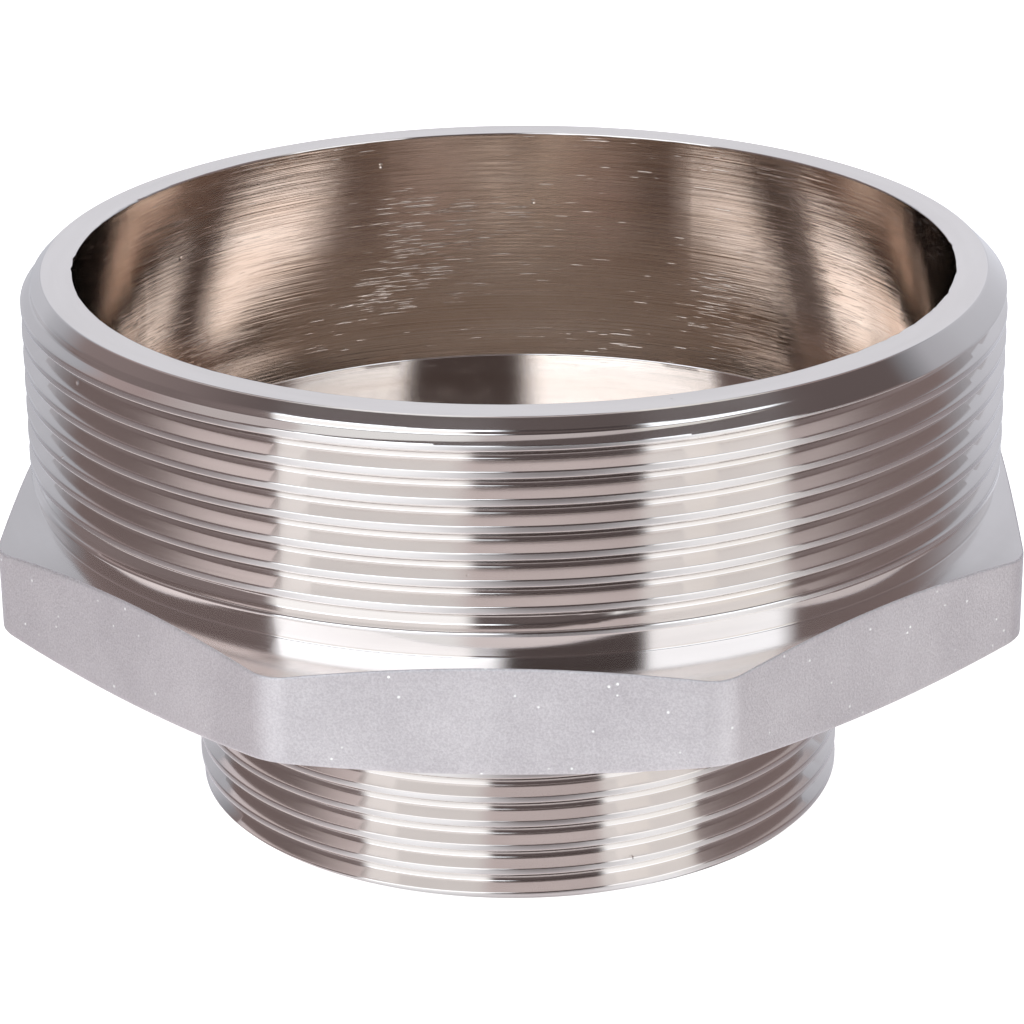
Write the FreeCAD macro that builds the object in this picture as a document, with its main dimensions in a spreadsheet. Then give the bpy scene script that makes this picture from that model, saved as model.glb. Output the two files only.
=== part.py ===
import FreeCAD, Part
import math
import os
import Sketcher

# Male reducing nipple, BSP G 3 by G 2, machined from one brass casting.
# Frame: origin at the centre of the small end face, +Z up the bore to the large end, millimetres.

SIZES = {
    # both threads: Whitworth form, 11 turns to the inch
    "pitch": 25.4 / 11,
    "thread_depth": 1.479,
    "root_half_width": 0.1925,
    "mouth_half_width": 1.1186,
    "tool_margin": 0.3,
    # large end
    "overall_length": 49.3,
    "large_thread_radius": 43.942,
    "large_groove_start": 31.19,
    "large_groove_height": 19.4,
    "large_rim_radius": 42.08,
    "large_leadin_length": 1.75,
    "large_bore_radius": 39.25,
    # relief between the large thread and the collar
    "relief_top": 31.2,
    "relief_foot": 29.155,
    "relief_foot_radius": 43.4,
    "relief_fillet": 0.8,
    # wrench collar
    "across_flats": 89.5,
    "corner_radius": 4.5,
    "turned_radius": 49.0,
    "top_cone_rim": 27.475,
    "bottom_cone_rim": 20.484,
    "underside": 19.09,
    "underside_radius": 43.55,
    # small end
    "small_thread_radius": 29.807,
    "small_groove_start": -3.03,
    "small_groove_height": 19.5,
    "small_leadin": 0.4,
    "small_bore_radius": 25.5,
    # conical floor between the two bores
    "floor_rim": 25.9,
    "floor_lip": 21.3,
}
# Azimuth of each groove's first section, in degrees from +X.
LARGE_GROOVE_AZIMUTH = 90.0
SMALL_GROOVE_AZIMUTH = -88.55
FLATS = 8

doc = FreeCAD.newDocument("reducing_nipple")
sheet = doc.addObject("Spreadsheet::Sheet", "Sizes")
for row, (name, value) in enumerate(SIZES.items(), start=1):
    sheet.set(f"A{row}", name)
    sheet.set(f"B{row}", repr(value))
    sheet.setAlias(f"B{row}", name)
doc.recompute()

body = doc.addObject("PartDesign::Body", "nipple_body")
body.Label = "nipple_body"
body.Placement = FreeCAD.Placement()


def origin_feature(role):
    return next(f for f in body.Origin.OriginFeatures if f.Role == role)


def new_sketch(name, plane):
    sketch = body.newObject("Sketcher::SketchObject", name)
    sketch.AttachmentSupport = [(origin_feature(plane), "")]
    sketch.MapMode = "FlatFace"
    return sketch


def amount(words):
    """A sum of named sizes, as a number and as a sheet expression."""
    total, sign, terms = 0.0, 1, []
    for word in words.split():
        if word in ("+", "-"):
            sign = 1 if word == "+" else -1
            terms.append(word)
        else:
            total += sign * SIZES[word]
            terms.append(f"Sizes.{word}")
    return total, " ".join(terms)


def place(sketch, line, axis, words):
    """Hold the start point of a line at a sum of named sizes along one sketch axis."""
    if not words:
        sketch.addConstraint(Sketcher.Constraint("PointOnObject", line, 1, -2 if axis == "X" else -1))
        return
    value, expression = amount(words)
    index = sketch.addConstraint(Sketcher.Constraint(f"Distance{axis}", -1, 1, line, 1, value))
    sketch.setExpression(f"Constraints[{index}]", expression)


def closed_profile(sketch, corners):
    """A closed polygon; each corner is two sums of named sizes, and an empty sum is zero."""
    points = [
        FreeCAD.Vector(amount(across)[0], amount(along)[0], 0) for across, along in corners
    ]
    following = points[1:] + points[:1]
    for here, there in zip(points, following):
        sketch.addGeometry(Part.LineSegment(here, there), False)
    for line in range(len(points)):
        after = (line + 1) % len(points)
        sketch.addConstraint(Sketcher.Constraint("Coincident", line, 2, after, 1))
    for line, (across, along) in enumerate(corners):
        place(sketch, line, "X", across)
        place(sketch, line, "Y", along)


def revolved(kind, name, sketch):
    feature = body.newObject(kind, name)
    feature.Profile = sketch
    feature.ReferenceAxis = (origin_feature("Z_Axis"), [""])
    feature.Angle = 360
    body.Tip = feature
    doc.recompute()
    return feature


def edges_where(feature, wanted):
    return [f"Edge{i}" for i, edge in enumerate(feature.Shape.Edges, start=1) if wanted(edge)]


def fillet(name, base, edges, radius_name):
    feature = body.newObject("PartDesign::Fillet", name)
    feature.Base = (base, edges)
    feature.setExpression("Radius", f"Sizes.{radius_name}")
    body.Tip = feature
    doc.recompute()
    return feature


def thread_groove(name, radius, start, height, azimuth):
    """Cut one right-handed Whitworth groove with a truncated root, upwards from its first section.

    The radius, the start height of the groove's middle and the height climbed are named sizes.
    """
    profile = new_sketch(f"{name}_profile", "XZ_Plane")
    profile.AttachmentOffset = FreeCAD.Placement(
        FreeCAD.Vector(), FreeCAD.Rotation(FreeCAD.Vector(0, 1, 0), azimuth)
    )
    root = f"{radius} - thread_depth"
    mouth = f"{radius} + tool_margin"
    closed_profile(
        profile,
        [
            (root, f"{start} - root_half_width"),
            (mouth, f"{start} - mouth_half_width"),
            (mouth, f"{start} + mouth_half_width"),
            (root, f"{start} + root_half_width"),
        ],
    )
    doc.recompute()
    groove = body.newObject("PartDesign::SubtractiveHelix", name)
    groove.Profile = profile
    groove.ReferenceAxis = (origin_feature("Z_Axis"), [""])
    groove.Mode = "pitch-height-angle"
    groove.setExpression("Pitch", "Sizes.pitch")
    groove.setExpression("Height", f"Sizes.{height}")
    groove.LeftHanded = False
    groove.Reversed = False
    body.Tip = groove
    doc.recompute()
    return groove


# The casting's turned outline: small shank, collar, relief, large shank.
outline = new_sketch("turned_outline", "XZ_Plane")
closed_profile(
    outline,
    [
        ("", ""),
        ("small_thread_radius - small_leadin", ""),
        ("small_thread_radius", "small_leadin"),
        ("small_thread_radius", "underside"),
        ("underside_radius", "underside"),
        ("turned_radius", "bottom_cone_rim"),
        ("turned_radius", "top_cone_rim"),
        ("relief_foot_radius", "relief_foot"),
        ("large_thread_radius", "relief_top"),
        ("large_thread_radius", "overall_length - large_leadin_length"),
        ("large_rim_radius", "overall_length"),
        ("", "overall_length"),
    ],
)
blank = revolved("PartDesign::Revolution", "turned_blank", outline)

# The wrench collar: everything outside an upright octagon is cut away.
octagon = new_sketch("collar_octagon", "XY_Plane")
half_flats = SIZES["across_flats"] / 2
corner = FreeCAD.Vector(half_flats / math.cos(math.pi / FLATS), 0, 0)
corners = [
    FreeCAD.Rotation(FreeCAD.Vector(0, 0, 1), 22.5 + 360 / FLATS * i).multVec(corner)
    for i in range(FLATS)
]
for here, there in zip(corners, corners[1:] + corners[:1]):
    octagon.addGeometry(Part.LineSegment(here, there), False)
guide = octagon.addGeometry(Part.Circle(FreeCAD.Vector(), FreeCAD.Vector(0, 0, 1), corner.x), True)
octagon.addConstraint(Sketcher.Constraint("Coincident", guide, 3, -1, 1))
for line in range(FLATS):
    octagon.addConstraint(Sketcher.Constraint("Coincident", line, 2, (line + 1) % FLATS, 1))
    octagon.addConstraint(Sketcher.Constraint("PointOnObject", line, 1, guide))
for line in range(1, FLATS):
    octagon.addConstraint(Sketcher.Constraint("Equal", 0, line))
octagon.addConstraint(Sketcher.Constraint("Horizontal", 1))
flat_height = octagon.addConstraint(Sketcher.Constraint("DistanceY", -1, 1, 1, 1, half_flats))
octagon.setExpression(f"Constraints[{flat_height}]", "Sizes.across_flats / 2")
fence = octagon.addGeometry(
    Part.Circle(FreeCAD.Vector(), FreeCAD.Vector(0, 0, 1), SIZES["turned_radius"] + 2), False
)
octagon.addConstraint(Sketcher.Constraint("Coincident", fence, 3, -1, 1))
fence_size = octagon.addConstraint(
    Sketcher.Constraint("Radius", fence, SIZES["turned_radius"] + 2)
)
octagon.setExpression(f"Constraints[{fence_size}]", "Sizes.turned_radius + 2")
doc.recompute()

flats = body.newObject("PartDesign::Pocket", "collar_flats")
flats.Profile = octagon
flats.Type = "ThroughAll"
flats.Reversed = True
body.Tip = flats
doc.recompute()


def is_collar_corner(edge):
    direction = edge.Curve.Direction if hasattr(edge.Curve, "Direction") else None
    return (
        direction is not None
        and abs(direction.z) > 0.999
        and edge.CenterOfMass.sub(FreeCAD.Vector(0, 0, edge.CenterOfMass.z)).Length > half_flats
    )


def is_relief_foot(edge):
    return (
        hasattr(edge.Curve, "Radius")
        and abs(edge.Curve.Radius - SIZES["relief_foot_radius"]) < 1e-3
        and abs(edge.CenterOfMass.z - SIZES["relief_foot"]) < 1e-3
    )


rounded = fillet(
    "collar_corners", flats, edges_where(flats, is_collar_corner), "corner_radius"
)
relieved = fillet(
    "relief_root", rounded, edges_where(rounded, is_relief_foot), "relief_fillet"
)

# The stepped bore: wide from the top, a conical floor, then the small bore to the bottom.
bore_outline = new_sketch("bore_outline", "XZ_Plane")
closed_profile(
    bore_outline,
    [
        ("", "- tool_margin"),
        ("small_bore_radius", "- tool_margin"),
        ("small_bore_radius", "floor_lip"),
        ("large_bore_radius", "floor_rim"),
        ("large_bore_radius", "overall_length + tool_margin"),
        ("", "overall_length + tool_margin"),
    ],
)
bored = revolved("PartDesign::Groove", "stepped_bore", bore_outline)

large_thread = thread_groove(
    "large_thread",
    "large_thread_radius",
    "large_groove_start",
    "large_groove_height",
    LARGE_GROOVE_AZIMUTH,
)
small_thread = thread_groove(
    "small_thread",
    "small_thread_radius",
    "small_groove_start",
    "small_groove_height",
    SMALL_GROOVE_AZIMUTH,
)

# Each cutting step must take material away, and nothing may be left invalid.
steps = [blank, flats, rounded, bored, large_thread, small_thread]
for earlier, later in zip(steps, steps[1:]):
    if not later.Shape.Volume < earlier.Shape.Volume - 1.0:
        raise RuntimeError(f"{later.Name} removed no material")
for item in doc.Objects:
    if "Invalid" in item.State or "Error" in item.State:
        raise RuntimeError(f"{item.Name} did not compute: {item.State}")
if body.Shape.isNull() or not body.Shape.isValid() or len(body.Shape.Solids) != 1:
    raise RuntimeError("the body is not one valid solid")

os.makedirs("parts", exist_ok=True)
body.Shape.exportStep(f"parts/{body.Label}.step")
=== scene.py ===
import math

import bmesh
import bpy
import numpy as np
from mathutils import Matrix, Vector


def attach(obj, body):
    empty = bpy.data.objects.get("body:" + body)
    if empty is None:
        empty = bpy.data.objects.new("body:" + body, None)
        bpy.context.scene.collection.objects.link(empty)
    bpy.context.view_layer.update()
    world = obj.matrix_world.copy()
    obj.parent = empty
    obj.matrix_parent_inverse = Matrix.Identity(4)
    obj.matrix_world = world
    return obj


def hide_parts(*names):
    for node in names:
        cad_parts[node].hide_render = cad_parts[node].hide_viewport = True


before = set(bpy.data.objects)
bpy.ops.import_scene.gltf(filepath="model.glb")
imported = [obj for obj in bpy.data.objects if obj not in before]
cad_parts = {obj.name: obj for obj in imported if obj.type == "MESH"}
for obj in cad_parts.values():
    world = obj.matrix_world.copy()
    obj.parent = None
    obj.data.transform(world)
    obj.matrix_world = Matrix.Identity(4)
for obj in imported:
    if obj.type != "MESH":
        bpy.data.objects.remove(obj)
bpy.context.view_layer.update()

MM = 0.001

# ------------------------------------------------------------------ sizes, in millimetres
PITCH = 25.4 / 11
LARGE_DEPTH, SMALL_DEPTH = 1.25, 1.12
LENGTH = 49.3
LARGE_R, SMALL_R = 43.942, 29.807
LARGE_BORE, SMALL_BORE = 39.25, 25.5
RIM_R, LEADIN = 42.08, 1.82
RELIEF_TOP, RELIEF_FOOT, RELIEF_R = 31.2, 29.155, 43.4
APOTHEM, CORNER_R = 44.75, 4.5
TOP_EDGE, TOP_SLOPE = 28.75, 0.300
BOTTOM_EDGE, BOTTOM_SLOPE = 19.4, 0.255
UNDERSIDE = 19.09
FLOOR_RIM, FLOOR_LIP = 25.9, 21.3
# a crest of each thread passes this height at the reference azimuth
PHASE_AZIMUTH = -88.55
LARGE_CREST_Z, SMALL_CREST_Z = 45.05, 9.67
# thread form: half width of the crest, slope of the flanks, and how far each edge is rounded along them
CREST_HALF, FLANK = 0.30, math.tan(math.radians(62.5))
CREST_ROUND, ROOT_ROUND = 0.09, 0.11
# the most the large groove is cut, by the height of its root: shallow steps first, shallower at the lead-in
RUNOUT_STEPS = [
    (31.25, 0.0), (31.55, 0.45), (31.95, 0.45), (32.2, 0.85), (32.385, 0.85), (32.435, LARGE_DEPTH),
    (47.0, LARGE_DEPTH), (48.2, 0.92),
]
RUNOUT_END = 33.0
# the small groove fades out round this height, over this many turns
SMALL_RUNOUT_Z, RUNOUT_TURNS = 16.5, 0.45
SMALL_LEADIN, SMALL_THREAD_TOP = 0.4, 17.6
# gaps that keep the thread rows off the rounded edges beside them
FACE_GAP, FOOT_GAP, RIM_GAP = 0.5, 0.2, 0.12
# the rim's inner edge: deepest chip, and the height at which a chipped edge would meet the plain wall
CHIP_DEPTH, CHIP_FOOT = 0.16, 40
FLATS = 8


# ------------------------------------------------------------------ the columns round the axis
ARC_HALF = math.degrees(
    math.atan2(
        CORNER_R * math.sin(math.pi / 8),
        (APOTHEM - CORNER_R) / math.cos(math.pi / 8) + CORNER_R * math.cos(math.pi / 8),
    )
)
FLAT_COLUMNS, CORNER_COLUMNS = 29, 11


def columns():
    """Azimuths in degrees: even steps along each flat, closer steps round each corner."""
    half = 180 / FLATS
    flat = np.linspace(-(half - ARC_HALF), half - ARC_HALF, FLAT_COLUMNS)
    arc = np.linspace(half - ARC_HALF, half + ARC_HALF, CORNER_COLUMNS)[1:-1]
    sector = np.concatenate([flat, arc])
    return np.concatenate([-180 + 2 * half * i + sector for i in range(FLATS)])


THETA = columns()
N = len(THETA)
RAD = np.radians(THETA)
ONE = np.ones(N)


def octagon_radius():
    """Distance from the axis to the rounded octagon, at each column."""
    step = 2 * math.pi / FLATS
    local = (RAD + step / 2) % step - step / 2
    flat = APOTHEM / np.cos(local)
    away = step / 2 - np.abs(local)
    centre = (APOTHEM - CORNER_R) / math.cos(step / 2)
    half_chord = np.sqrt(np.maximum(CORNER_R**2 - (centre * np.sin(away)) ** 2, 0))
    arc = centre * np.cos(away) + half_chord
    return np.where(away < math.radians(ARC_HALF), arc, flat)


def smooth(x):
    x = np.clip(x, 0, 1)
    return x * x * (3 - 2 * x)


# ------------------------------------------------------------------ threads
def rounded(corner, before, after, cut, steps):
    """Points of a curve that cuts a corner off between two straight runs, as far as cut along each."""
    corner, before, after = (np.array(p) for p in (corner, before, after))
    a = corner + cut * (before - corner) / np.hypot(*(before - corner))
    b = corner + cut * (after - corner) / np.hypot(*(after - corner))
    return [(1 - t) ** 2 * a + 2 * t * (1 - t) * corner + t * t * b for t in np.linspace(0, 1, steps)]


def thread_form(depth):
    """One pitch upwards from a crest's middle: heights, and depths below the crest."""
    top, bottom = (CREST_HALF, 0.0), (CREST_HALF + depth / FLANK, depth)
    up = rounded(top, (0, 0.0), bottom, CREST_ROUND, 4)
    up += rounded(bottom, top, (PITCH / 2, depth), ROOT_ROUND, 3)
    z, d = np.array(up).T
    return np.concatenate([z, PITCH - z[::-1]]), np.concatenate([d, d[::-1]])


FORMS = {LARGE_CREST_Z: thread_form(LARGE_DEPTH), SMALL_CREST_Z: thread_form(SMALL_DEPTH)}
# plain rows for zones where the thread's own rows are too coarse or too many
FINE, FINER, FINEST = (np.arange(n) / n * PITCH for n in (10, 20, 26))


def crest_height(z0):
    return z0 + PITCH * (THETA - PHASE_AZIMUTH) / 360


def thread_depth(z, z0):
    t, d = FORMS[z0]
    return np.interp((z - crest_height(z0)) % PITCH, t, d, left=0.0, right=0.0)


def root_height(z, z0):
    """Height of the middle of the groove that a point lies in."""
    base = crest_height(z0)
    return base + PITCH * (np.floor((z - base) / PITCH) + 0.5)


def helical_rows(low, high, z0, form):
    """Heights of the feature lines between two levels: rows climb with the thread, cut off at both."""
    base = crest_height(z0)
    first = math.floor((low - base.max()) / PITCH) - 1
    last = math.ceil((high - base.min()) / PITCH) + 1
    rows = [base + PITCH * n + t for n in range(first, last + 1) for t in form]
    return [np.clip(z, low, high) for z in rows]


def large_radius(z):
    """The large shank: thread with its stepped run-out, lead-in cone and relief."""
    heights, caps = zip(*RUNOUT_STEPS)
    cap = np.interp(root_height(z, LARGE_CREST_Z), heights, caps)
    r = LARGE_R - np.minimum(thread_depth(z, LARGE_CREST_Z), cap)
    relief = RELIEF_R + (z - RELIEF_FOOT) * (LARGE_R - RELIEF_R) / (RELIEF_TOP - RELIEF_FOOT)
    cone = RIM_R + (LENGTH - z) * (LARGE_R - RIM_R) / LEADIN
    return np.minimum(np.minimum(r, relief), cone)


def small_radius(z):
    """The small shank: thread fading out under the collar, and its lead-in cone."""
    cut = smooth((SMALL_RUNOUT_Z - root_height(z, SMALL_CREST_Z)) / PITCH / RUNOUT_TURNS + 0.5)
    r = SMALL_R - cut * thread_depth(z, SMALL_CREST_Z)
    return np.minimum(r, SMALL_R - SMALL_LEADIN + z)


# ------------------------------------------------------------------ the rings of the profile
TURNED, BORED, BLASTED, SATIN = 0, 1, 2, 3
rings = []  # (radius, height, shift at the seam, material of the strip that follows)
zones = []  # first and last ring of each stretch whose rows climb with a thread


def ring(r, z, material, shift=0):
    rings.append((r * ONE, z * ONE, shift, material))


def eased(corner, before, after, size, material, steps=3, then=None):
    """Rings round a corner of the profile, from size before it to size after it.

    The points before and after only say which way the two sides run.
    """
    corner, before, after = (np.array([p[0] * ONE, p[1] * ONE]) for p in (corner, before, after))

    def towards(p):
        d = p - corner
        return corner + size * d / np.hypot(*d)

    a, b = towards(before), towards(after)
    for s in np.linspace(0, 1, steps + 1):
        p = (1 - s) ** 2 * a + 2 * s * (1 - s) * corner + s * s * b
        ring(p[0], p[1], then if s == 1 and then is not None else material)


def on_crest(t, onwards):
    """Whether the strip between two rows of a thread form is part of its crest."""
    if onwards < CREST_HALF - 0.06:
        return True
    return t > PITCH - CREST_HALF + 0.08 and (onwards > t or onwards < CREST_HALF)


def thread_zone(low, high, z0, form, radius, skin=None):
    """Rows of a shank between two heights; without a skin, satin crests between turned flanks."""
    start = len(rings)
    for index, z in enumerate(helical_rows(low, high, z0, form)):
        material = skin
        if skin is None:
            crest = on_crest(form[index % len(form)], form[(index + 1) % len(form)])
            material = SATIN if crest else TURNED
        ring(radius(z), z, material, len(form))
    zones.append((start, len(rings) - 1))


side = octagon_radius()
side_top = TOP_EDGE - TOP_SLOPE * (side - APOTHEM)
side_bottom = BOTTOM_EDGE + BOTTOM_SLOPE * (side - APOTHEM)
underside_r = APOTHEM - (BOTTOM_EDGE - UNDERSIDE) / BOTTOM_SLOPE
foot_z = TOP_EDGE + TOP_SLOPE * (APOTHEM - RELIEF_R)
small_rows, large_rows = FORMS[SMALL_CREST_Z][0], FORMS[LARGE_CREST_Z][0]

# bottom face of the small end
eased((SMALL_BORE, 0), (SMALL_BORE, FLOOR_LIP), (SMALL_R, 0), 0.15, TURNED)
ring(SMALL_R - FACE_GAP, 0, TURNED)
# lead-in cone and thread of the small end, up to the collar's underside
thread_zone(0.0, SMALL_LEADIN, SMALL_CREST_Z, FINE, small_radius, SATIN)
thread_zone(SMALL_LEADIN, SMALL_THREAD_TOP, SMALL_CREST_Z, small_rows, small_radius)
eased((SMALL_R, UNDERSIDE), (SMALL_R, 0), (underside_r, UNDERSIDE), 0.4, TURNED)
# collar
eased((underside_r, UNDERSIDE), (SMALL_R, UNDERSIDE), (APOTHEM, BOTTOM_EDGE), 0.3, TURNED)
eased((side, side_bottom), (underside_r, UNDERSIDE), (side, side_top), 0.22, BLASTED)
for s in np.linspace(0.04, 0.96, 7):
    ring(side, side_bottom + s * (side_top - side_bottom), BLASTED)
eased((side, side_top), (side, side_bottom), (RELIEF_R, foot_z), 0.16, BLASTED, then=TURNED)
eased((RELIEF_R, foot_z), (APOTHEM, TOP_EDGE), (LARGE_R, RELIEF_TOP), 0.16, TURNED)
# relief, the large thread's run-out, the thread, and the lead-in cone across its last turn
thread_zone(foot_z + FOOT_GAP, RELIEF_TOP, LARGE_CREST_Z, FINE, large_radius, TURNED)
thread_zone(RELIEF_TOP, RUNOUT_END, LARGE_CREST_Z, FINER, large_radius)
thread_zone(RUNOUT_END, LENGTH - LEADIN, LARGE_CREST_Z, large_rows, large_radius)
thread_zone(LENGTH - LEADIN, LENGTH - RIM_GAP, LARGE_CREST_Z, FINEST, large_radius, TURNED)
# rim, with small chips along its inner edge
chips = np.random.default_rng(7).random(N) ** 6 * CHIP_DEPTH * (0.35 + 0.65 * smooth(np.sin(RAD * 2 + 2.2)))
eased((RIM_R, LENGTH), (LARGE_R, LENGTH - LEADIN), (LARGE_BORE, LENGTH), 0.11, TURNED)
eased((LARGE_BORE + chips, LENGTH), (RIM_R, LENGTH), (LARGE_BORE, CHIP_FOOT), 0.12, TURNED)
# large bore, conical floor, small bore
ring(LARGE_BORE, LENGTH - 0.2, BORED)
for z in np.linspace(LENGTH - 3, FLOOR_RIM + 1, 8):
    ring(LARGE_BORE, z, BORED)
eased((LARGE_BORE, FLOOR_RIM), (LARGE_BORE, LENGTH), (SMALL_BORE, FLOOR_LIP), 0.12, TURNED)
eased((SMALL_BORE, FLOOR_LIP), (LARGE_BORE, FLOOR_RIM), (SMALL_BORE, 0), 0.2, BORED)

# ------------------------------------------------------------------ the mesh
points = np.array(
    [np.stack([r * np.cos(RAD), r * np.sin(RAD), z], axis=1) for r, z, _, _ in rings]
) * MM
zone_of = {j: (a, b) for a, b in zones for j in range(a, b + 1)}


def across_seam(j, other):
    """The ring that meets ring j beyond the seam, inside the zone it shares with the other ring."""
    if j not in zone_of or zone_of.get(other) != zone_of[j]:
        return j
    a, b = zone_of[j]
    return min(max(j + rings[j][2], a), b)


faces, materials = [], []
for j in range(len(rings)):
    k = (j + 1) % len(rings)
    for i in range(N):
        if i + 1 < N:
            quad = (j * N + i, j * N + i + 1, k * N + i + 1, k * N + i)
        else:
            quad = (j * N + i, across_seam(j, k) * N, across_seam(k, j) * N, k * N + i)
        faces.append(quad)
        materials.append(rings[j][3])

mesh = bpy.data.meshes.new("nipple")
mesh.from_pydata(points.reshape(-1, 3).tolist(), [], faces)
mesh.polygons.foreach_set("material_index", materials)
nipple = bpy.data.objects.new("nipple", mesh)
bpy.context.scene.collection.objects.link(nipple)

bm = bmesh.new()
bm.from_mesh(mesh)
bmesh.ops.remove_doubles(bm, verts=bm.verts, dist=2e-6)
bmesh.ops.recalc_face_normals(bm, faces=bm.faces)
for face in bm.faces:
    face.smooth = True
open_edges = sum(1 for e in bm.edges if len(e.link_faces) != 2)
volume = round(bm.calc_volume() * 1e9, 1)
print("MESH faces", len(bm.faces), "open or doubled edges", open_edges, "volume_mm3", volume)
bm.to_mesh(mesh)
bm.free()
normals = nipple.modifiers.new("even_normals", "WEIGHTED_NORMAL")
normals.keep_sharp = True
normals.weight = 80
normals.thresh = 1e-8


# ------------------------------------------------------------------ nodes
# sockets of a colour Mix node, which share their names with those of its other kinds
MIX_FACTOR, MIX_A, MIX_B, MIX_RESULT = 0, 6, 7, 2


def nodes_of(name):
    material = bpy.data.materials.new(name)
    material.use_nodes = True
    tree = material.node_tree
    return material, tree, tree.nodes["Principled BSDF"]


def maths(tree, operation, a, b=None):
    """A Math node on numbers or sockets."""
    node = tree.nodes.new("ShaderNodeMath")
    node.operation = operation
    for socket, value in zip(node.inputs, (a, b)):
        if isinstance(value, (int, float)):
            socket.default_value = value
        elif value is not None:
            tree.links.new(value, socket)
    return node.outputs[0]


def object_coordinates(tree):
    return tree.nodes.new("ShaderNodeTexCoord").outputs["Object"]


def lathe_coordinates(tree, around, along):
    """Object coordinates stretched into rings about the axis: slow round it, fast along the profile."""
    split = tree.nodes.new("ShaderNodeSeparateXYZ")
    tree.links.new(object_coordinates(tree), split.inputs[0])
    x, y, z = split.outputs
    squares = maths(tree, "ADD", maths(tree, "MULTIPLY", x, x), maths(tree, "MULTIPLY", y, y))
    outwards = maths(tree, "ADD", z, maths(tree, "SQRT", squares))
    join = tree.nodes.new("ShaderNodeCombineXYZ")
    for socket, (value, factor) in zip(join.inputs, ((x, around), (y, around), (outwards, along))):
        tree.links.new(maths(tree, "MULTIPLY", value, factor), socket)
    return join.outputs[0]


def noise(tree, vector, scale=1.0, detail=2.0, roughness=0.5):
    node = tree.nodes.new("ShaderNodeTexNoise")
    node.inputs["Scale"].default_value = scale
    node.inputs["Detail"].default_value = detail
    node.inputs["Roughness"].default_value = roughness
    tree.links.new(vector, node.inputs["Vector"])
    return node.outputs["Fac"]


def dots(tree, vector, scale, inner, outer):
    """A mask of scattered dots: 1 within the inner distance of a cell's point, 0 beyond the outer one."""
    cells = tree.nodes.new("ShaderNodeTexVoronoi")
    cells.inputs["Scale"].default_value = scale
    tree.links.new(vector, cells.inputs["Vector"])
    return remap(tree, cells.outputs["Distance"], inner, outer, 1, 0)


def remap(tree, value, low, high, to_low, to_high):
    node = tree.nodes.new("ShaderNodeMapRange")
    for name, number in (("From Min", low), ("From Max", high), ("To Min", to_low), ("To Max", to_high)):
        node.inputs[name].default_value = number
    tree.links.new(value, node.inputs["Value"])
    return node.outputs["Result"]


def tint(tree, value, dark, light):
    ramp = tree.nodes.new("ShaderNodeValToRGB")
    ramp.color_ramp.elements[0].color = (*dark, 1)
    ramp.color_ramp.elements[1].color = (*light, 1)
    tree.links.new(value, ramp.inputs["Fac"])
    return ramp.outputs["Color"]


def bump(tree, shader, height, distance, below=None):
    """A Bump node on the shader's normal, on top of an earlier one if given."""
    node = tree.nodes.new("ShaderNodeBump")
    node.inputs["Strength"].default_value = 1.0
    node.inputs["Distance"].default_value = distance
    tree.links.new(height, node.inputs["Height"])
    if below is not None:
        tree.links.new(below, node.inputs["Normal"])
    tree.links.new(node.outputs["Normal"], shader.inputs["Normal"])
    return node.outputs["Normal"]


# ------------------------------------------------------------------ materials
def turned(name, fine_depth, rough_low, rough_high, dark, light, anisotropy=0.75, ticks=0.0):
    """Lathe-turned plating: fine rings, faint patches, small nicks and, with ticks, short scratches."""
    material, tree, shader = nodes_of(name)
    shader.inputs["Metallic"].default_value = 1.0
    shader.inputs["Anisotropic"].default_value = anisotropy
    shader.inputs["Anisotropic Rotation"].default_value = 0.25
    tangent = tree.nodes.new("ShaderNodeTangent")
    tangent.direction_type = "RADIAL"
    tangent.axis = "Z"
    tree.links.new(tangent.outputs[0], shader.inputs["Tangent"])
    streaks = noise(tree, lathe_coordinates(tree, 18, 4200), 1.0, 4.0, 0.6)
    patches = noise(tree, lathe_coordinates(tree, 60, 400), 1.0, 3.0, 0.5)
    tree.links.new(remap(tree, streaks, 0.3, 0.7, rough_low, rough_high), shader.inputs["Roughness"])
    tree.links.new(
        tint(tree, remap(tree, patches, 0.3, 0.7, 0, 1), dark, light),
        shader.inputs["Base Color"],
    )
    fine = bump(tree, shader, streaks, fine_depth)
    nicks = dots(tree, object_coordinates(tree), 150, 0.015, 0.04)
    fine = bump(tree, shader, nicks, -0.00006, below=fine)
    if ticks:
        short = noise(tree, lathe_coordinates(tree, 300, 8500), 1.0, 1.0, 0.5)
        where = noise(tree, lathe_coordinates(tree, 55, 90), 1.0, 1.0, 0.5)
        dense = remap(tree, where, 0.48, 0.64, -0.14, 0.01)
        scratches = remap(tree, maths(tree, "ADD", short, dense), 0.60, 0.70, 0, 1)
        bump(tree, shader, scratches, ticks, below=fine)
    return material


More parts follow.
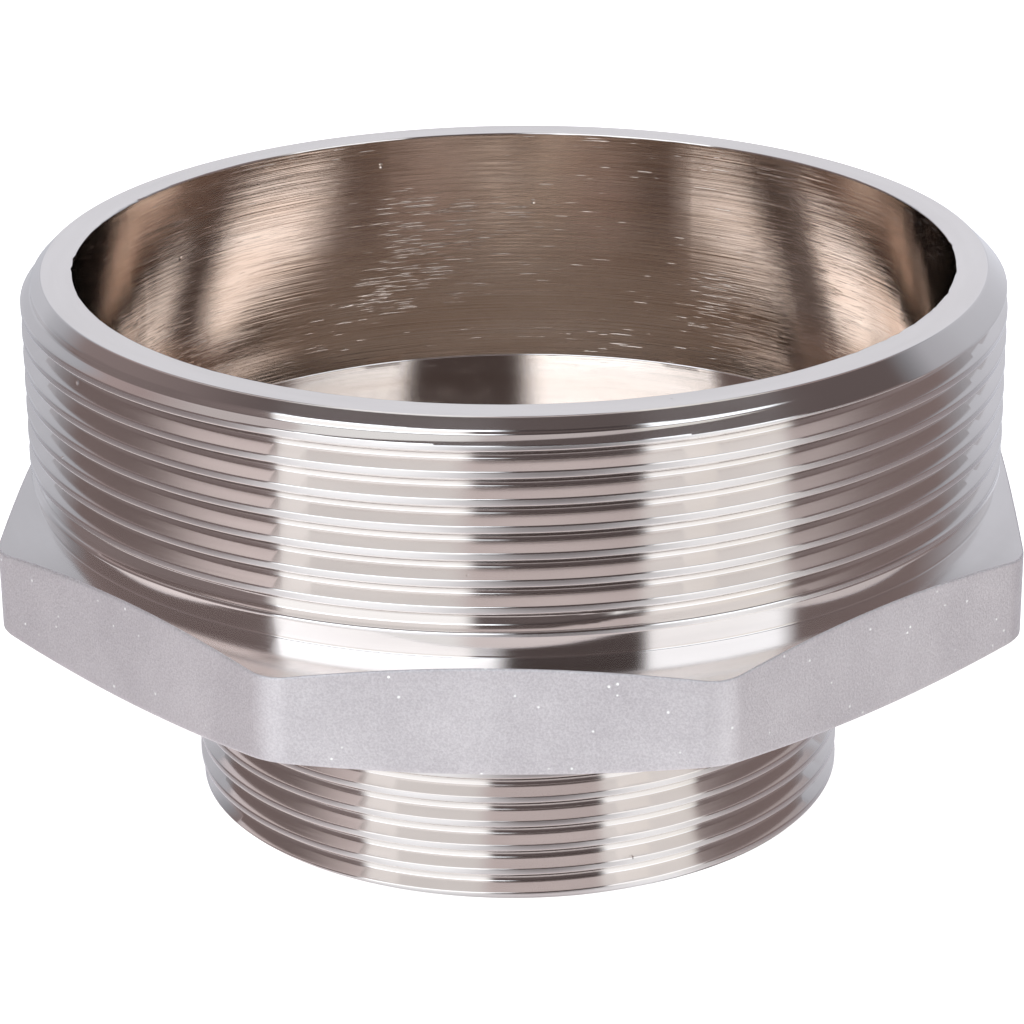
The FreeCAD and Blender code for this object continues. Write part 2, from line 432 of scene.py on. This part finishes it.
def blasted(name):
    """Blasted plating: fine grain over soft lumps and stains, with sparse white specks."""
    material, tree, shader = nodes_of(name)
    at = object_coordinates(tree)
    grain = noise(tree, at, 5200, 2.0, 0.7)
    lumps = noise(tree, at, 3000, 3.0, 0.55)
    stain = noise(tree, at, 90, 4.0, 0.6)
    specks = dots(tree, at, 620, 0.05, 0.09)
    shade = maths(
        tree,
        "ADD",
        remap(tree, stain, 0.3, 0.7, 0.0, 0.5),
        remap(tree, grain, 0.35, 0.65, 0.0, 0.5),
    )
    mixed = tree.nodes.new("ShaderNodeMix")
    mixed.data_type = "RGBA"
    mixed.inputs[MIX_B].default_value = (1, 1, 1, 1)
    tree.links.new(specks, mixed.inputs[MIX_FACTOR])
    tree.links.new(tint(tree, shade, (0.64, 0.615, 0.65), (0.90, 0.88, 0.91)), mixed.inputs[MIX_A])
    tree.links.new(mixed.outputs[MIX_RESULT], shader.inputs["Base Color"])
    tree.links.new(remap(tree, specks, 0, 1, 0.8, 0.0), shader.inputs["Metallic"])
    shader.inputs["Roughness"].default_value = 0.56
    first = bump(tree, shader, lumps, 0.00002)
    bump(tree, shader, grain, 0.00003, below=first)
    return material


# in the order of TURNED, BORED, BLASTED, SATIN
mesh.materials.append(
    turned("plated_turned", 0.0000008, 0.09, 0.14, (0.77, 0.735, 0.72), (0.83, 0.795, 0.78))
)
# painted shade: the bore copy's darker, browner base colour stands in for the shade and warm light bounced
# round inside the bore; its scratches and roughness are its own
mesh.materials.append(
    turned("plated_bore_painted_shade", 0.000022, 0.05, 0.10, (0.76, 0.65, 0.57), (0.86, 0.775, 0.71), ticks=0.000016)
)
mesh.materials.append(blasted("plated_blasted"))
mesh.materials.append(
    turned("plated_satin", 0.0000012, 0.30, 0.38, (0.78, 0.76, 0.77), (0.86, 0.84, 0.85), anisotropy=0.2)
)
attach(nipple, "root")
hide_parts("nipple_body")


# ------------------------------------------------------------------ floor
def disc(name, radius, z, colour, glow):
    bpy.ops.mesh.primitive_circle_add(vertices=96, radius=radius, fill_type="NGON", location=(0, 0, z))
    thing = bpy.context.object
    thing.name = name
    material, _, shader = nodes_of(name)
    shader.inputs["Base Color"].default_value = (*colour, 1)
    shader.inputs["Roughness"].default_value = 0.9
    shader.inputs["Emission Color"].default_value = (*colour, 1)
    shader.inputs["Emission Strength"].default_value = glow
    thing.data.materials.append(material)
    return thing


floor = disc("floor", 3.0, -0.0002, (0.95, 0.95, 0.95), 1.0)
floor.visible_glossy = False
# a greyer patch without the floor's glow, seen through the small bore and in reflections: painted shade,
# standing in for the white floor in the bore's shadow
disc("painted_shade_under_bore", 0.0265, -0.0001, (0.78, 0.77, 0.76), 0.0)

# ------------------------------------------------------------------ studio light
CAMERA_AZIMUTH = -87.6
STRENGTH = 2.1
# tints of the panels
WHITE, CREAM, BLUISH, MAUVE = (1, 1, 1), (1.0, 0.985, 0.95), (0.93, 0.95, 1.03), (1.0, 0.80, 0.79)
ROSE, LILAC, ICE = (1.0, 0.91, 0.91), (0.97, 0.94, 1.0), (0.94, 1.0, 1.06)
# the studio turns this far round the part, in degrees
SPAN = 190
# the panels are placed for a shank of this radius, seen from this far and this steeply
SHANK, SEEN_FROM, SEEN_AT = 44, 300, math.radians(21.9)

world = bpy.data.worlds.new("studio")
bpy.context.scene.world = world
world.use_nodes = True
tree = world.node_tree
background = tree.nodes["Background"]
where = tree.nodes.new("ShaderNodeTexCoord")
turn = tree.nodes.new("ShaderNodeMapping")
turn.vector_type = "POINT"
turn.inputs["Rotation"].default_value = (0, 0, math.radians(-90 - CAMERA_AZIMUTH))
tree.links.new(where.outputs["Generated"], turn.inputs["Vector"])
split = tree.nodes.new("ShaderNodeSeparateXYZ")
tree.links.new(turn.outputs[0], split.inputs[0])
X, Y, Z = split.outputs


def bands(value, stops):
    """A colour ramp whose stops are (position, brightness, tint)."""
    ramp = tree.nodes.new("ShaderNodeValToRGB")
    elements = ramp.color_ramp.elements
    while len(elements) > 1:
        elements.remove(elements[-1])
    for index, (position, level, colour) in enumerate(stops):
        stop = elements[0] if index == 0 else elements.new(position)
        stop.position = position
        stop.color = (level * colour[0], level * colour[1], level * colour[2], 1)
    tree.links.new(value, ramp.inputs["Fac"])
    return ramp.outputs["Color"]


def blend(factor, a, b):
    node = tree.nodes.new("ShaderNodeMix")
    node.data_type = "RGBA"
    for socket, value in ((MIX_FACTOR, factor), (MIX_A, a), (MIX_B, b)):
        tree.links.new(value, node.inputs[socket])
    return node.outputs[MIX_RESULT]


def ease(value, low, high):
    node = tree.nodes.new("ShaderNodeMapRange")
    node.interpolation_type = "SMOOTHSTEP"
    node.inputs["From Min"].default_value = low
    node.inputs["From Max"].default_value = high
    tree.links.new(value, node.inputs["Value"])
    return node.outputs["Result"]


def flat_colour(level, colour):
    node = tree.nodes.new("ShaderNodeRGB")
    node.outputs[0].default_value = tuple(level / STRENGTH * c for c in colour) + (1,)
    return node.outputs[0]


# The panels' edges are upright planes through the point straight behind the part, so each strip of
# light runs from the floor in front, overhead, to the back. A direction is named by the plane it lies
# on (turn, degrees to the right of the front) and by how high on the part it is seen (lift).
ahead = maths(tree, "SUBTRACT", math.cos(SEEN_AT), Y)
above = maths(tree, "ADD", Z, math.sin(SEEN_AT))
turn_of = maths(tree, "DIVIDE", maths(tree, "ARCTAN2", X, ahead), math.radians(SPAN))
turn_of = maths(tree, "ADD", turn_of, 0.5)
squares = [maths(tree, "MULTIPLY", v, v) for v in (X, ahead, above)]
squares = maths(tree, "ADD", maths(tree, "ADD", squares[0], squares[1]), squares[2])
lift = maths(tree, "DIVIDE", above, maths(tree, "SQRT", squares))


def strip(levels):
    """One ring of the studio: (degrees on the shank, brightness, tint) from left to right."""
    stops = []
    for degrees, level, colour in levels:
        t = math.radians(degrees)
        swing = math.degrees(math.atan2(SHANK * math.sin(t), SEEN_FROM - SHANK * math.cos(t)))
        mirrored = degrees + swing / 2
        stops.append(((mirrored + SPAN / 2) / SPAN, level / STRENGTH, colour))
    return bands(turn_of, stops)


low = strip([
    (-90, 0.62, BLUISH), (-71, 0.64, BLUISH), (-66, 0.44, BLUISH), (-60, 0.24, MAUVE),
    (-40, 0.20, MAUVE), (-27.2, 0.23, MAUVE), (-26.2, 1.2, WHITE), (-5.6, 1.22, WHITE),
    (-4.2, 0.12, MAUVE), (13.4, 0.11, MAUVE), (14.4, 1.2, WHITE), (27, 1.12, CREAM),
    (30.5, 0.95, CREAM), (31.6, 0.2, MAUVE), (45, 0.25, MAUVE), (56, 0.28, MAUVE),
    (62, 0.44, BLUISH), (70, 0.76, BLUISH), (90, 0.9, BLUISH),
])
middle = strip([
    (-90, 0.66, BLUISH), (-75, 0.66, BLUISH), (-65, 0.5, BLUISH), (-59, 0.28, MAUVE),
    (-40, 0.22, MAUVE), (-28, 0.13, MAUVE), (-10, 0.12, MAUVE), (10, 0.11, MAUVE),
    (30, 0.12, MAUVE), (47, 0.12, MAUVE), (50, 0.26, BLUISH), (54, 0.5, BLUISH),
    (70, 0.68, BLUISH), (90, 0.74, BLUISH),
])
inner = strip([
    (-90, 0.62, BLUISH), (-71, 0.64, BLUISH), (-62, 0.34, BLUISH), (-57, 0.24, MAUVE),
    (-40, 0.20, MAUVE), (-27.2, 0.2, MAUVE), (-26.2, 2.05, ICE), (-3, 2.08, ICE),
    (-0.6, 0.07, MAUVE), (13.4, 0.07, MAUVE), (14.4, 1.62, ICE), (29, 1.55, ICE),
    (31.6, 0.2, MAUVE), (50, 0.25, MAUVE), (62, 0.5, BLUISH), (90, 0.8, BLUISH),
])
high = strip([
    (-90, 0.62, BLUISH), (-70, 0.6, BLUISH), (-61, 0.46, BLUISH), (-55, 0.42, MAUVE),
    (-49, 0.40, MAUVE), (-40, 0.55, ROSE), (-27.2, 0.62, ROSE), (-26.2, 0.88, WHITE),
    (-6.4, 0.86, WHITE), (-4, 0.55, ROSE), (13, 0.55, ROSE), (15, 0.86, CREAM),
    (31, 0.86, CREAM), (32.5, 0.40, MAUVE), (48, 0.34, MAUVE), (55, 0.36, BLUISH),
    (62, 0.58, BLUISH), (72, 0.7, BLUISH), (90, 0.74, BLUISH),
])
top = strip([
    (-90, 0.82, BLUISH), (-64, 0.74, BLUISH), (-56, 0.42, BLUISH), (-48, 0.17, MAUVE),
    (-40, 0.09, MAUVE), (-27.6, 0.09, MAUVE), (-26.4, 1.25, WHITE), (-4, 1.22, WHITE),
    (-1, 0.16, MAUVE), (3, 0.065, MAUVE), (13, 0.07, MAUVE), (15, 0.8, CREAM),
    (19, 1.15, CREAM), (26, 0.9, CREAM), (31, 0.45, CREAM), (33, 0.09, MAUVE),
    (42, 0.09, MAUVE), (50, 0.21, BLUISH), (58, 0.52, BLUISH), (66, 0.8, BLUISH),
    (90, 0.92, BLUISH),
])
ground = strip([
    (-90, 0.9, LILAC), (-62, 0.9, LILAC), (-50, 0.80, ROSE), (-40, 0.9, ROSE),
    (-27.2, 0.95, ROSE), (-26.2, 1.0, WHITE), (-7, 0.96, WHITE), (-4.5, 0.76, ROSE),
    (13, 0.74, ROSE), (14.4, 1.05, WHITE), (30, 1.05, WHITE), (31.6, 0.66, ROSE),
    (50, 0.55, ROSE), (60, 0.6, LILAC), (90, 0.8, LILAC),
])
below = strip([
    (-90, 1.0, LILAC), (-62, 1.1, LILAC), (-50, 0.9, ROSE), (-27, 0.7, ROSE),
    (-26, 0.85, WHITE), (-7, 0.85, WHITE), (-4, 0.6, ROSE), (13, 0.55, ROSE),
    (15, 0.8, WHITE), (30, 0.8, WHITE), (32, 0.42, ROSE), (52, 0.4, ROSE),
    (66, 0.7, LILAC), (90, 0.85, LILAC),
])
rim_light = flat_colour(0.79, (0.98, 0.99, 1.05))
# each ring takes over from the one under it between two lifts
sky = below
for lift_from, lift_to, colours in (
    (-0.56, -0.42, ground), (-0.13, -0.05, low), (0.3, 0.45, inner), (0.66, 0.69, middle),
    (0.755, 0.80, high), (0.905, 0.945, top), (0.968, 0.986, rim_light),
):
    sky = blend(ease(lift, lift_from, lift_to), sky, colours)
seen = tree.nodes.new("ShaderNodeLightPath")
sky = blend(seen.outputs["Is Camera Ray"], sky, flat_colour(1.0, WHITE))
tree.links.new(sky, background.inputs["Color"])
background.inputs["Strength"].default_value = STRENGTH
world.cycles.sampling_method = "MANUAL"
world.cycles.sample_map_resolution = 1024

# ------------------------------------------------------------------ camera
FRAME_PX, SENSOR = 1024, 36
FOCAL_PX, DISTANCE, ELEVATION, TARGET_Z, CENTRE_PX, ROLL = 3519.5, 323.93, 21.89, 24.331, 516.08, -0.522
camera = bpy.data.objects.new("camera", bpy.data.cameras.new("camera"))
bpy.context.scene.collection.objects.link(camera)
bpy.context.scene.camera = camera
camera.data.sensor_width = SENSOR
camera.data.lens = SENSOR * FOCAL_PX / FRAME_PX
camera.data.shift_x = (FRAME_PX / 2 - CENTRE_PX) / FRAME_PX
camera.data.clip_start = 0.01
a, e = math.radians(CAMERA_AZIMUTH), math.radians(ELEVATION)
back = Vector((math.cos(a) * math.cos(e), math.sin(a) * math.cos(e), math.sin(e)))
right = Vector((-math.sin(a), math.cos(a), 0))
up = back.cross(right)
turn = Matrix((right, up, back)).transposed() @ Matrix.Rotation(math.radians(ROLL), 3, "Z")
place = Matrix.Translation((Vector((0, 0, TARGET_Z)) + DISTANCE * back) * MM)
camera.matrix_world = place @ turn.to_4x4()
bpy.context.scene.view_settings.view_transform = "Standard"
